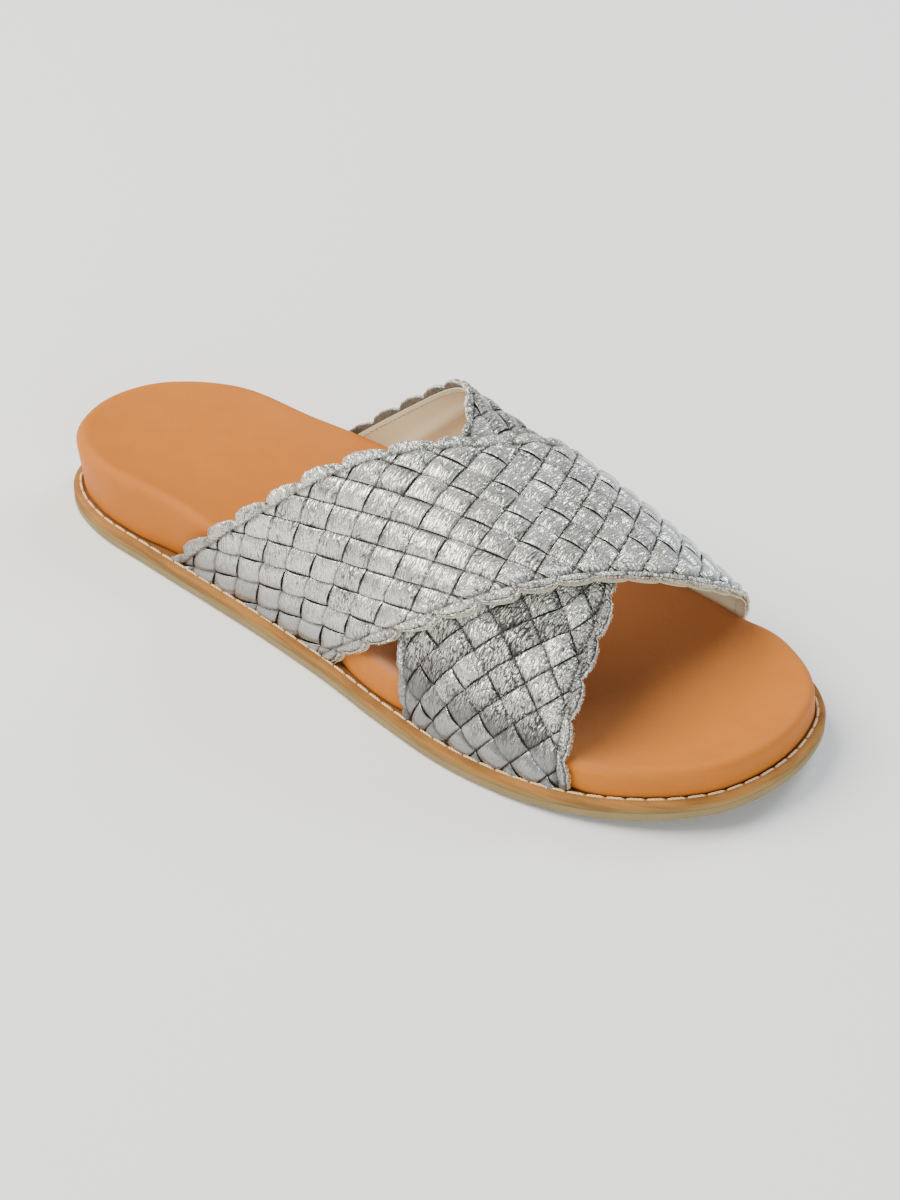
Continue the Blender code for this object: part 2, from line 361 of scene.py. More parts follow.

# Borders in section, from the seam out to the rim and back under: place out, height, painted shade, raw edge
PUFFED_ROLL = (
    (-0.08, -0.60, 1.0, 0.0),
    (0.00, -0.30, 1.0, 0.0),
    (0.08, 0.18, 0.5, 0.0),
    (0.22, 0.55, 0.0, 0.0),
    (0.38, 0.72, 0.0, 0.0),
    (0.55, 0.74, 0.0, 0.0),
    (0.72, 0.60, 0.0, 0.0),
    (0.85, 0.36, 0.0, 0.1),
    (0.94, 0.08, 0.0, 0.8),
    (0.99, -0.20, 0.0, 1.0),
    (1.00, -0.45, 0.0, 1.0),
    (0.96, -0.75, 0.2, 0.5),
    (0.80, -1.00, 0.4, 0.0),
    (0.35, -1.05, 0.6, 0.0),
    (-0.08, -1.05, 0.8, 0.0),
)
RAW_ROLL = (
    (-0.08, -0.60, 1.0, 0.0),
    (0.00, -0.30, 1.0, 0.0),
    (0.08, 0.18, 0.4, 0.0),
    (0.22, 0.52, 0.0, 0.0),
    (0.40, 0.66, 0.0, 0.0),
    (0.56, 0.62, 0.0, 0.0),
    (0.68, 0.36, 0.3, 0.0),
    (0.75, 0.08, 1.0, 0.0),
    (0.81, 0.22, 0.2, 0.7),
    (0.90, 0.28, 0.0, 1.0),
    (0.97, 0.02, 0.0, 1.0),
    (1.00, -0.35, 0.0, 1.0),
    (0.98, -0.75, 0.0, 1.0),
    (0.85, -0.98, 0.4, 0.2),
    (0.40, -1.05, 0.6, 0.0),
    (-0.08, -1.05, 0.8, 0.0),
)

# Colours of the straps' foil: a dull and a bright strip's, then its folds and edges, with a far side's
# painted sheen and painted shade in its gaps
SILVER = (0.98, 0.955, 0.88)
CREASES = ((0.03, 0.028, 0.025), (0.09, 0.087, 0.08))
PLAIN_FOIL = ((0.17, 0.168, 0.157), (0.33, 0.333, 0.33))
FAR_SHEEN = (0.60, 0.61, 0.615)
GAP_SHADE = (0.04, 0.038, 0.035)
CUT_EDGE = (0.05, 0.048, 0.044)
RAW_RIM = ((0.30, 0.28, 0.245), (0.76, 0.73, 0.67))
FOLD_BACK = (0.18, 0.225, 0.22)

# Grain of the foil: features per millimetre up the foot and along the shoe, and from strip to strip
BROAD_CRACKS = (0.28, 1.45, 1.0)
HAIR_CRACKS = (0.55, 2.80, 1.0)
FINE_GRAIN = (1.5, 3.4, 1.0)
CRUMPLES = (0.25, 0.4, 1.0)

# How far cracks drift, where the far side's painted sheen on the plain foil sets in, and the turn of pleats
# per millimetre
CRACK_DRIFT = (0.9, 0.9, 0.0)
FAR_SHEEN_UP = (5.0, 36.0)
PLEATS_UP = 4.4

# Colours of leather, rubber and thread, darker and lighter
CREAM = ((0.70, 0.64, 0.40), (0.78, 0.73, 0.50))
CREAM_EDGE = (0.64, 0.59, 0.42)
TAN = ((0.48, 0.147, 0.017), (0.52, 0.164, 0.021))
TAN_STRAP_SHADE = (0.335, 0.126, 0.042)
TAN_WINDOW_LIGHT = (0.46, 0.215, 0.105)
WELT_BROWN = ((0.21, 0.092, 0.022), (0.38, 0.172, 0.042))
WELT_AGED = ((0.20, 0.125, 0.040), (0.29, 0.20, 0.080))
WELT_GROOVE_SHADE = (0.22, 0.095, 0.026)
GUM = ((0.20, 0.14, 0.055), (0.31, 0.225, 0.095))
SOLE_THREAD = ((0.56, 0.34, 0.17), (0.92, 0.67, 0.42))
LINING_THREAD = ((0.52, 0.46, 0.30), (0.72, 0.66, 0.46))
PALE_FLOOR = ((0.93, 0.93, 0.93), (0.95, 0.95, 0.95))


def smooth_step(low, high, value):
    share = np.clip((value - low) / (high - low), 0, 1)
    return share * share * (3 - 2 * share)


def bell(value, middle, width):
    return np.exp(-(((value - middle) / width) ** 2))


def wave(turns):
    return np.sin(2 * np.pi * turns)


def lengths(path):
    """Length along a path up to each of its points."""
    return np.concatenate([[0], np.cumsum(np.linalg.norm(np.diff(path, axis=0), axis=1))])


def points_at(path, reached):
    """Points on a path at given lengths along it."""
    length = lengths(path)
    return np.column_stack([np.interp(reached, length, path[:, axis]) for axis in range(3)])


# Form of the sole and of the last


def sole_share(x):
    return x / SOLE_LENGTH + 0.5


def half_width(share):
    """Half width of the sole; its square is what runs smoothly into the round heel and toe."""
    return BALL_HALF_WIDTH * np.sqrt(np.maximum(WIDTH_SQUARES.at("square", share), 0))


def spring(share):
    """Rise of the sole towards the toe."""
    return TOE_SPRING * np.clip((share - SPRING_START) / (1 - SPRING_START), 0, 1) ** 2


def ring_shares():
    """Stations along the outer side from heel to toe and back along the inner side, closer at the ends."""
    there = 0.5 - 0.5 * np.cos(np.pi * np.arange(STATIONS + 1) / STATIONS)
    return np.concatenate([there, there[-2:0:-1]])


def ring_sides():
    """-1 for a station on the outer side, 1 for one on the inner side, 0 at heel and toe."""
    side = np.ones(STATIONS - 1)
    return np.concatenate([[0], -side, [0], side])


def outline(inset):
    """Points round the sole's outline in plan, moved in from its edge."""
    share = ring_shares()
    x = (share - 0.5) * SOLE_LENGTH
    y = OUTLINE.at("middle", share) + ring_sides() * half_width(share)
    points = np.stack([x, y], axis=1)
    along = np.roll(points, -1, axis=0) - np.roll(points, 1, axis=0)
    along /= np.linalg.norm(along, axis=1)[:, None]
    inward = np.stack([-along[:, 1], along[:, 0]], axis=1)
    return points + inward * np.reshape(inset, (-1, 1))


def spine():
    """The middle line that the faces above and below a sole layer close on, a point for each station."""
    share = np.clip(ring_shares(), SPINE_END, 1 - SPINE_END)
    return np.stack([(share - 0.5) * SOLE_LENGTH, OUTLINE.at("middle", share)], axis=1)


def raised_ring(plan, height):
    """A ring of points at a height over the sprung ground."""
    lift = height + spring(sole_share(plan[:, 0]))
    return np.column_stack([plan, lift])


class Last:
    """The form that the straps lie on, sampled once along the shoe and round each section."""

    X_RANGE = (-112.0, 126.0)
    X_STEP = 1.0
    AROUND_POINTS = 401
    SECTION_POINTS = 721
    # Taken off a count of samples, so that a place at the end has one after it
    END_MARGIN = 1.001

    def __init__(self):
        self.x = np.arange(*self.X_RANGE, self.X_STEP)
        self.around = np.linspace(-1, 1, self.AROUND_POINTS)
        self.points = np.array([self.section(x) for x in self.x])
        along = np.gradient(self.points, axis=0)
        across = np.gradient(self.points, axis=1)
        normals = np.cross(along, across)
        self.normals = normals / np.linalg.norm(normals, axis=2)[..., None]

    def section(self, x):
        """Points round the last at a place along the shoe, from the outer end to the inner end."""
        share = sole_share(x)
        turn = np.linspace(0, np.pi, self.SECTION_POINTS)
        reach = half_width(share) - STRAP_INSET
        middle = OUTLINE.at("middle", share)
        to_outer = reach - middle + CREST_OFFSET
        to_inner = reach + middle - CREST_OFFSET
        swing = np.sign(np.cos(turn)) * np.abs(np.cos(turn)) ** (2 / SECTION_POWER)
        y = CREST_OFFSET - np.where(swing > 0, to_outer, to_inner) * swing
        base = WELT_TOP + spring(share)
        z = base + INSTEP.at("height", share) * np.abs(np.sin(turn)) ** (2 / SECTION_POWER)
        path = np.column_stack([np.full(len(turn), x), y, z])
        return points_at(path, (self.around + 1) / 2 * lengths(path)[-1])

    def mix(self, grid, x, around):
        """A sampled grid read between its points."""
        row = np.clip((x - self.x[0]) / self.X_STEP, 0, len(self.x) - self.END_MARGIN)
        column = (around + 1) / 2 * (len(self.around) - 1)
        column = np.clip(column, 0, len(self.around) - self.END_MARGIN)
        i = row.astype(int)
        j = column.astype(int)
        p = (row - i)[..., None]
        q = (column - j)[..., None]
        near = grid[i, j] * (1 - q) + grid[i, j + 1] * q
        far = grid[i + 1, j] * (1 - q) + grid[i + 1, j + 1] * q
        return near * (1 - p) + far * p

    def at(self, x, around, height):
        """Points at a height over the last."""
        return self.mix(self.points, x, around) + height[..., None] * self.mix(self.normals, x, around)


@dataclass
class Strap:
    """One strap: its edges, how far it stands off the last in the middle, and how its braid lies."""

    last: Last
    edges: Table
    lift: float
    start: float
    lean: float
    pitch: float
    over_rows: int
    far_pitch: float = 1.0
    swing: tuple = (0, 0, 0)
    crowd: tuple = (0, 0, 0)

    def lattice(self, row, place):
        """Where a crossing of the braid lies: around the last, and across the strap in rows."""
        around = self.start + self.lean * row + self.pitch * place
        around = np.minimum(around, CREST_SIDE + (around - CREST_SIDE) * self.far_pitch)
        near = smooth_step(*NEAR_SIDE, around)
        off = row - BRAID_ROWS / 2
        along = around - OUTER_MIDDLE
        drawn = off * (self.swing[0] + self.swing[1] * off + self.swing[2] * along)
        crowded = self.crowd[0] + self.crowd[1] * along + self.crowd[2] * off
        inside = row * (BRAID_ROWS - row) / (BRAID_ROWS / 2) ** 2
        return around + near * drawn, row + near * np.clip(inside, 0, 1) * crowded

    def at(self, around, row, height):
        """Points on the strap, at a height over its middle surface."""
        around = np.clip(around, -1, 1)
        rear = self.edges.at("rear", around)
        x = rear + row / BRAID_ROWS * (self.edges.at("front", around) - rear)
        lifted = self.lift * smooth_step(0, 1 - LIFT_FADES, 1 - np.abs(around))
        return self.last.at(x, around, height + lifted)


@dataclass
class Border:
    """One border of a strap: its seam and its lobes, in rows counted inwards from the strap's edge line."""

    strap: Strap
    table: Table
    front: bool
    valley: float
    peak_share: float
    slant: float = 0.0
    lining_shows: bool = False

    def row(self, inward):
        return BRAID_ROWS - inward if self.front else inward

    def places(self):
        """Places along the border from the strap's outer end to its inner end, and where they are around."""
        place = np.arange(*PLACES_SEARCHED, 1 / POINTS_PER_LOBE)
        around, _ = self.strap.lattice(np.full(len(place), float(self.row(0))), place)
        inside = np.abs(around) <= 1
        return place[inside], around[inside]

    def lobe(self, place):
        """0 in the valley between two lobes, 1 where a lobe reaches out most."""
        part = (place - self.valley) % 1
        rising = part / self.peak_share
        falling = (1 - part) / (1 - self.peak_share)
        return np.sin(np.pi / 2 * np.minimum(rising, falling)) ** LOBE_FULLNESS

    def seam(self, around):
        return self.table.at("seam", around)

    def edge(self, around, place):
        dip = self.table.at("dip", around)
        return dip + (self.table.at("peak", around) - dip) * self.lobe(place)

    def lining_row(self, around):
        """The row where the lining ends: short of the lobes, or just past them where it shows."""
        if not self.lining_shows:
            return self.row(self.table.at("lining", around))
        place, place_around = self.places()
        return self.row(self.edge(around, np.interp(around, place_around, place)) - LINING_SHOWS)


@dataclass
class Braid:
    """What the pieces of one strap share: its form, its two borders, and the look of its leather."""

    name: str
    strap: Strap
    rear: Border
    front: Border
    far_smooth: float
    dull: float
    bright: float
    seed: int

    def tone(self, look):
        return self.dull + (self.bright - self.dull) * look

    def crackle(self, around):
        """How much the foil is broken: not at the strap's lower ends, and less on a smooth far side."""
        smooth = self.far_smooth * smooth_step(*FAR_SIDE, around)
        return smooth_step(*STRAP_FOOT, np.abs(around)) * (1 - smooth)


# Meshes


class Shape:
    """Gathers grids of points, with named values at each point, into one mesh."""

    MERGE = 2e-6
    SMALLEST = 1e-6
    SHARP_ANGLE = 50

    def __init__(self):
        self.points = []
        self.faces = []
        self.values = {}
        self.count = 0

    def add(self, grid, caps=False, **values):
        """Adds a grid of points and joins its last column to its first; caps closes its two ends."""
        rows, columns = grid.shape[:2]
        index = np.arange(rows * columns).reshape(rows, columns) + self.count
        ring = np.concatenate([index, index[:, :1]], axis=1)
        quads = np.stack([ring[:-1, :-1], ring[:-1, 1:], ring[1:, 1:], ring[1:, :-1]], axis=-1)
        self.faces += quads.reshape(-1, 4).tolist()
        if caps:
            self.faces += [index[0].tolist(), index[-1, ::-1].tolist()]
        self.points.append(grid.reshape(-1, 3))
        for name, value in values.items():
            self.values.setdefault(name, []).append(np.broadcast_to(value, (rows, columns)).ravel())
        self.count += rows * columns

    def make(self, name, material, node=None):
        """The finished piece: it rides on the shoe, and stands for a solid where one is named."""
        mesh = bpy.data.meshes.new(name)
        mesh.from_pydata((np.concatenate(self.points) * METRES).tolist(), [], self.faces)
        for key, parts in self.values.items():
            layer = mesh.attributes.new(key, "FLOAT", "POINT")
            layer.data.foreach_set("value", np.concatenate(parts).astype(np.float32))
        bm = bmesh.new()
        bm.from_mesh(mesh)
        bmesh.ops.remove_doubles(bm, verts=bm.verts, dist=self.MERGE)
        bmesh.ops.dissolve_degenerate(bm, edges=bm.edges, dist=self.SMALLEST)
        bmesh.ops.recalc_face_normals(bm, faces=bm.faces)
        bm.to_mesh(mesh)
        bm.free()
        mesh.shade_smooth()
        mesh.set_sharp_from_angle(angle=np.radians(self.SHARP_ANGLE))
        mesh.materials.append(material)
        obj = bpy.data.objects.new(name, mesh)
        bpy.context.scene.collection.objects.link(obj)
        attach(obj, "root")
        if node:
            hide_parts(node)


# Materials


class Paint:
    """A material whose nodes are added one call at a time."""

    def __init__(self, name, **inputs):
        self.material = bpy.data.materials.new(name)
        self.material.use_nodes = True
        self.tree = self.material.node_tree
        self.shader = self.tree.nodes["Principled BSDF"]
        self.place = self.node("ShaderNodeTexCoord").outputs["Object"]
        self.feed(self.shader, inputs)

    def feed(self, node, inputs):
        for key, value in inputs.items():
            socket = node.inputs[key]
            if isinstance(value, bpy.types.NodeSocket):
                self.tree.links.new(value, socket)
            else:
                socket.default_value = value

    def node(self, kind, inputs=None, **settings):
        node = self.tree.nodes.new(kind)
        for key, value in settings.items():
            setattr(node, key, value)
        self.feed(node, inputs or {})
        return node

    def noise(self, scale, detail=2.0, roughness=0.5, vector=None, output="Fac"):
        inputs = {"Vector": vector or self.place, "Scale": scale, "Detail": detail, "Roughness": roughness}
        return self.node("ShaderNodeTexNoise", inputs).outputs[output]

    def math(self, operation, first, second=0.0):
        return self.node("ShaderNodeMath", {0: first, 1: second}, operation=operation).outputs[0]

    def plus(self, first, second):
        return self.math("ADD", first, second)

    def less(self, first, second):
        return self.math("SUBTRACT", first, second)

    def times(self, first, second):
        return self.math("MULTIPLY", first, second)

    def span(self, value, low, high, to_low=0.0, to_high=1.0):
        inputs = {"Value": value, "From Min": low, "From Max": high, "To Min": to_low, "To Max": to_high}
        return self.node("ShaderNodeMapRange", inputs, interpolation_type="SMOOTHSTEP").outputs["Result"]

    def mix(self, share, first, second):
        node = self.node("ShaderNodeMix", data_type="RGBA")
        for socket, value in ((0, share), (6, first), (7, second)):
            if isinstance(value, tuple):
                value = (*value, 1)
            self.feed(node, {socket: value})
        return node.outputs[2]

    def value(self, name):
        return self.node("ShaderNodeAttribute", attribute_name=name).outputs["Fac"]

    def scaled(self, vector, scale):
        return self.node("ShaderNodeVectorMath", {0: vector, 1: scale}, operation="MULTIPLY").outputs[0]

    def moved(self, vector, offset):
        return self.node("ShaderNodeVectorMath", {0: offset, 1: vector}, operation="ADD").outputs[0]

    def cells(self, vector, scale, **settings):
        """Distance to the nearest of scattered points, or to the lines between them."""
        inputs = {"Vector": vector, "Scale": scale}
        return self.node("ShaderNodeTexVoronoi", inputs, **settings).outputs["Distance"]

    def cracks(self, vector):
        return self.cells(vector, 1.0, feature="DISTANCE_TO_EDGE")

    def bump(self, height, strength, depth):
        inputs = {"Height": height, "Strength": strength, "Distance": depth * METRES}
        return self.node("ShaderNodeBump", inputs).outputs["Normal"]

    def finish(self, color, **inputs):
        self.feed(self.shader, {"Base Color": color, **inputs})
        return self.material


def strip_space(paint):
    """Place on the strips: up the foot, along the shoe, and a number that sets each strip apart."""
    parts = {"X": paint.value("up"), "Y": paint.value("over"), "Z": paint.value("strip")}
    return paint.node("ShaderNodeCombineXYZ", parts).outputs[0]


def foil_shine(paint, spot, cracks, hairs, fine):
    """1 on whole foil and 0 in a crease; dull strips have wider creases and are darker in the painted shade
    across each cell.
    """
    tone = paint.value("tone")
    patch = paint.noise(0.22, 2.0, 0.5, spot)
    opened = paint.plus(paint.span(patch, 0.3, 0.7, 0.08, 0.0), paint.span(tone, 0.0, 1.0, 0.04, -0.03))
    broad = paint.span(paint.less(cracks, opened), -0.05, 0.09)
    narrow = paint.span(hairs, -0.02, 0.13)
    shine = paint.times(broad, paint.plus(paint.times(narrow, 0.45), 0.55))
    shine = paint.times(shine, paint.span(fine, 0.25, 0.5, 0.6, 1.0))
    dullest = paint.span(tone, 0.0, 1.0, 0.3, 0.9)
    lit = paint.times(paint.less(1.0, dullest), paint.value("shade"))
    return paint.times(shine, paint.plus(dullest, lit))


def foil_streaks(paint, crackle):
    """Dark streaks on dull strips, where the broken foil runs out towards the plain lower ends."""
    fading = paint.times(crackle, paint.less(1.0, crackle))
    return paint.times(fading, paint.span(paint.value("tone"), 0.1, 0.7, 2.8, 0.0))


def foil_color(paint, shine, fine, crackle):
    tone = paint.value("tone")
    broken = paint.mix(shine, paint.mix(tone, *CREASES), SILVER)
    plain = paint.mix(tone, *PLAIN_FOIL)
    # Painted sheen: plain foil turns pale up the far side
    plain = paint.mix(paint.span(paint.value("up"), *FAR_SHEEN_UP), plain, FAR_SHEEN)
    color = paint.mix(paint.times(crackle, 0.92), plain, broken)
    # Painted shade where strips dive under their neighbours, beside seams and between lobes
    color = paint.mix(paint.times(paint.value("dive"), 0.8), color, GAP_SHADE)
    color = paint.mix(paint.span(paint.value("edge"), 0.5, 1.0), color, CUT_EDGE)
    rim = paint.mix(paint.span(fine, 0.35, 0.6), *RAW_RIM)
    color = paint.mix(paint.value("raw"), color, rim)
    return paint.mix(paint.value("back"), color, FOLD_BACK)


def foil_relief(paint, spot, cracks, crackle):
    """Cracks, soft crumples, and pleats beside a front seam."""
    crumple = paint.noise(1.0, 3.0, 0.6, paint.scaled(spot, CRUMPLES))
    turns = paint.plus(paint.times(paint.value("up"), PLEATS_UP), paint.times(crumple, 9.0))
    pleat = paint.times(paint.math("SINE", turns), paint.value("pleat"))
    relief = paint.plus(paint.times(cracks, 2.0), paint.times(crumple, 1.2))
    sharper = paint.span(crackle, 0.0, 1.0, 0.15, 1.0)
    calmer = paint.span(paint.value("tone"), 0.0, 1.0, 0.9, 0.5)
    return paint.bump(paint.plus(relief, pleat), paint.times(sharper, calmer), 0.6)


def pewter_leather():
    """Metallic leather strips: silver foil broken by fine dark creases that run up the foot."""
    paint = Paint("pewter_leather", Metallic=0.7)
    spot = strip_space(paint)
    drift = paint.noise(0.9, vector=spot, output="Color")
    bent = paint.moved(spot, paint.scaled(drift, CRACK_DRIFT))
    cracks = paint.cracks(paint.scaled(bent, BROAD_CRACKS))
    hairs = paint.cracks(paint.scaled(bent, HAIR_CRACKS))
    fine = paint.noise(1.0, 2.0, 0.6, paint.scaled(spot, FINE_GRAIN))
    crackle = paint.value("crackle")
    shine = foil_shine(paint, spot, cracks, hairs, fine)
    shine = paint.times(shine, paint.less(1.0, foil_streaks(paint, crackle)))
    color = foil_color(paint, shine, fine, crackle)
    roughness = paint.span(shine, 0.0, 1.0, 0.43, 0.20)
    normal = foil_relief(paint, spot, cracks, crackle)
    return paint.finish(color, Roughness=roughness, Normal=normal)


def lining_leather():
    """Matt cream lining with a soft nap."""
    paint = Paint("cream_lining", Roughness=0.85)
    cloud = paint.noise(60.0, 3.0)
    nap = paint.noise(1500.0, 3.0)
    color = paint.mix(paint.value("raw"), paint.mix(cloud, *CREAM), CREAM_EDGE)
    return paint.finish(color, Normal=paint.bump(nap, 0.35, 0.2))


def tan_leather():
    """Smooth tan leather of the footbed, with pores, soft clouds of colour, painted shade under the straps
    and painted light by the outer window.
    """
    paint = Paint("tan_leather", **{"Specular IOR Level": 0.15})
    cloud = paint.noise(16.0, 3.0)
    mottle = paint.noise(140.0, 3.0)
    pores = paint.cells(paint.place, 1500.0)
    shade = paint.plus(paint.times(cloud, 0.7), paint.times(mottle, 0.3))
    color = paint.mix(paint.span(shade, 0.35, 0.65), *TAN)
    # Painted shade: a darker, duller tan under the straps
    color = paint.mix(paint.value("covered"), color, TAN_STRAP_SHADE)
    # Painted light: a paler, duller tan by the outer window between the straps
    color = paint.mix(paint.value("window"), color, TAN_WINDOW_LIGHT)
    roughness = paint.span(mottle, 0.3, 0.7, 0.54, 0.64)
    grain = paint.plus(paint.span(pores, 0.0, 0.5), paint.noise(700.0, 3.0))
    normal = paint.bump(grain, 0.2, 0.12)
    return paint.finish(color, Roughness=roughness, Normal=normal)


def welt_leather():
    """Waxed leather edge, with painted shade in the groove beside the stitches."""
    paint = Paint("welt_leather", **{"Roughness": 0.75, "Specular IOR Level": 0.15})
    stain = paint.noise(1.0, 4.0, 0.6, paint.scaled(paint.place, (45.0, 45.0, 600.0)))
    color = paint.mix(paint.span(stain, 0.3, 0.7), *WELT_BROWN)
    aged = paint.mix(paint.span(stain, 0.35, 0.65), *WELT_AGED)
    color = paint.mix(paint.value("low"), color, aged)
    # Painted shade in the groove beside the stitches
    color = paint.mix(paint.value("groove"), color, WELT_GROOVE_SHADE)
    grain = paint.plus(stain, paint.noise(900.0, 3.0))
    return paint.finish(color, Normal=paint.bump(grain, 0.35, 0.25))


def gum_rubber():
    """Honey-olive gum, a little cloudy and roughly cut at its edge."""
    paint = Paint("gum_rubber", **{"Roughness": 0.6, "Specular IOR Level": 0.3})
    color = paint.mix(paint.noise(90.0, 4.0), *GUM)
    return paint.finish(color, Normal=paint.bump(paint.noise(700.0, 4.0), 0.4, 0.3))


def waxed_thread(name, colors):
    """Thread with its plies twisted along each stitch."""
    paint = Paint(name, Roughness=0.6)
    turns = paint.math("SINE", paint.value("twist"))
    color = paint.mix(paint.span(turns, -1.0, 1.0), *colors)
    return paint.finish(color, Normal=paint.bump(turns, 0.5, 0.15))


def pale_floor():
    paint = Paint("pale_floor", Roughness=0.9)
    return paint.finish(paint.mix(paint.noise(3.0), *PALE_FLOOR))


# Sole


def make_outsole():
    rings = [raised_ring(spine(), 0.0)]
    rings += [raised_ring(outline(inset), height) for inset, height in OUTSOLE_EDGE]
    rings.append(raised_ring(spine(), OUTSOLE_TOP))
    shape = Shape()
    shape.add(np.array(rings))
    shape.make("gum_outsole", gum_rubber(), "outsole")


def make_welt():
    insets, heights, groove, low = np.array(WELT_EDGE).T
    rings = [raised_ring(spine(), WELT_BOTTOM)]
    rings += [raised_ring(outline(inset), height) for inset, height in zip(insets, heights)]
    rings.append(raised_ring(spine(), WELT_GROOVE))
    groove = np.concatenate([[0], groove, [1]])
    low = np.concatenate([[1], low, [0]])
    shape = Shape()
    shape.add(np.array(rings), groove=groove[:, None], low=low[:, None])
    shape.make("welt_strip", welt_leather(), "welt")


def footbed_side_rings(inset, lean, rim):
    """Rings from under the footbed up its leaning side."""
    rings = [raised_ring(spine(), FOOTBED_BOTTOM)]
    for tuck, part in FOOTBED_FOOT:
        rings.append(raised_ring(outline(inset + tuck), FOOTBED_BOTTOM + part * TUCK_HEIGHT))
    side_foot = FOOTBED_BOTTOM + TUCK_HEIGHT
    side_head = rim - FOOTBED_ROUND
    for part in (0.25, 0.5, 0.75):
        rings.append(raised_ring(outline(inset - lean * part), side_foot + (side_head - side_foot) * part))
    return rings


def footbed_top_rings(inset, lean, rim):
    """Rings over the rounded rim and down into the dished floor."""
    rings = []
    for turn in np.radians(np.arange(0, 91, 10)):
        round_in = FOOTBED_ROUND * (1 - np.cos(turn)) - lean
        round_down = FOOTBED_ROUND * (1 - np.sin(turn))
        rings.append(raised_ring(outline(inset + round_in), rim - round_down))
    edge = outline(inset + FOOTBED_ROUND - lean)
    floor = FOOTBED.at("floor", sole_share(spine()[:, 0]))
    for reach in np.linspace(DISH_START, 0, DISH_RINGS):
        plan = spine() + reach * (edge - spine())
        rings.append(raised_ring(plan, floor + (rim - floor) * reach**DISH_POWER))
    return rings


def make_footbed():
    inset, lean, outer, inner = (
        FOOTBED.at(column, ring_shares()) for column in ("inset", "lean", "outer_rim", "inner_rim")
    )
    rim = outer + (inner - outer) * (1 + ring_sides()) / 2
    rings = np.array(footbed_side_rings(inset, lean, rim) + footbed_top_rings(inset, lean, rim))
    x = rings[..., 0]
    y = rings[..., 1]
    on_top = smooth_step(*TOP_RINGS, np.arange(len(rings)))[:, None]
    # Painted shade on the top under the straps
    covered = on_top * smooth_step(*STRAP_SHADE_REAR, x) * smooth_step(*STRAP_SHADE_FRONT, x)
    # Painted light on the top by the outer window between the straps
    window = smooth_step(*WINDOW_LIGHT_SIDE, y) * smooth_step(*WINDOW_LIGHT_REAR, x) * smooth_step(*WINDOW_LIGHT_FRONT, x)
    shape = Shape()
    shape.add(rings, covered=covered, window=on_top * window)
    shape.make("footbed_leather", tan_leather(), "footbed")


def add_thread(shape, path, radius, flatness=1.0, up=(0, 0, 1), sides=8):
    """A thread along a path, with round ends and a twist value for its plies."""
    along = np.gradient(path, axis=0)
    along /= np.linalg.norm(along, axis=1)[:, None]
    side = np.cross(along, np.broadcast_to(up, along.shape))
    side /= np.linalg.norm(side, axis=1)[:, None]
    rise = np.cross(side, along)
    to_end = np.abs(np.linspace(-1, 1, len(path)))
    radii = np.sqrt(np.clip(1 - to_end**END_POWER, END_SHARE, 1)) * radius
    angles = np.linspace(0, 2 * np.pi, sides, endpoint=False)
    sideways = np.cos(angles)[None, :, None] * side[:, None]
    upwards = flatness * np.sin(angles)[None, :, None] * rise[:, None]
    rings = path[:, None] + radii[:, None, None] * (sideways + upwards)
    twist = lengths(path)[:, None] / PLY_TURN * 2 * np.pi + angles[None, :] * PLIES
    shape.add(rings, caps=True, twist=twist)


def make_welt_stitches():
    ring = raised_ring(outline(STITCH_INSET), WELT_TOP)
    ring = np.concatenate([ring, ring[:1]])
    girth = lengths(ring)[-1]
    count = int(round(girth / STITCH_PITCH))
    share = np.linspace(-1, 1, STITCH_POINTS)
    shape = Shape()
    for number in range(count):
        path = points_at(ring, (number + 0.5) * girth / count + share * STITCH_LENGTH / 2)
        path[:, 2] += STITCH_RISE - STITCH_SINK * share**END_POWER
        add_thread(shape, path, STITCH_RADIUS, STITCH_FLATNESS)
    shape.make("welt_stitches", waxed_thread("sole_thread", SOLE_THREAD))


# Straps


def strip_section():
    """Across a strip: place from edge to edge, height over its edge line, and how far it is cut edge."""
    back = tuple((-across, height, cut) for across, height, cut in STRIP_TOP[-2::-1])
    return np.array(STRIP_TOP + back + STRIP_UNDER).T


def strip_steps(start, end):
    """Places along a strip, closer together where it dives under its neighbours."""
    cells = np.arange(np.floor(start), np.ceil(end) + 1)
    steps = (cells[:, None] + np.array(CELL_STEPS)).ravel()
    return steps[(steps >= start) & (steps <= end), None]


def strip_grid(family, number, across):
    """Steps along one strip, and the place and the row of each point of its grid.

    One family of strips keeps its place along the strap, the other keeps row plus place.
    """
    middle = number + 0.5
    side = middle + across * STRIP_HALF
    if family == "place":
        steps = strip_steps(middle - STRIP_RUNS_ON, middle + BRAID_ROWS + STRIP_RUNS_ON)
        return steps, np.broadcast_to(side, (len(steps), len(side))), steps - side
    steps = strip_steps(middle - BRAID_ROWS - STRIP_RUNS_ON, middle + STRIP_RUNS_ON)
    return steps, np.broadcast_to(steps, (len(steps), len(side))), side - steps


def cell_looks(rng, cell):
    """Three random numbers for each cell along a strip, repeated at each of its steps."""
    looks = rng.random((int(np.ptp(cell)) + 1, 3))[(cell - cell[0]).astype(int).ravel()]
    return looks[:, :1], looks[:, 1:2], looks[:, 2:]


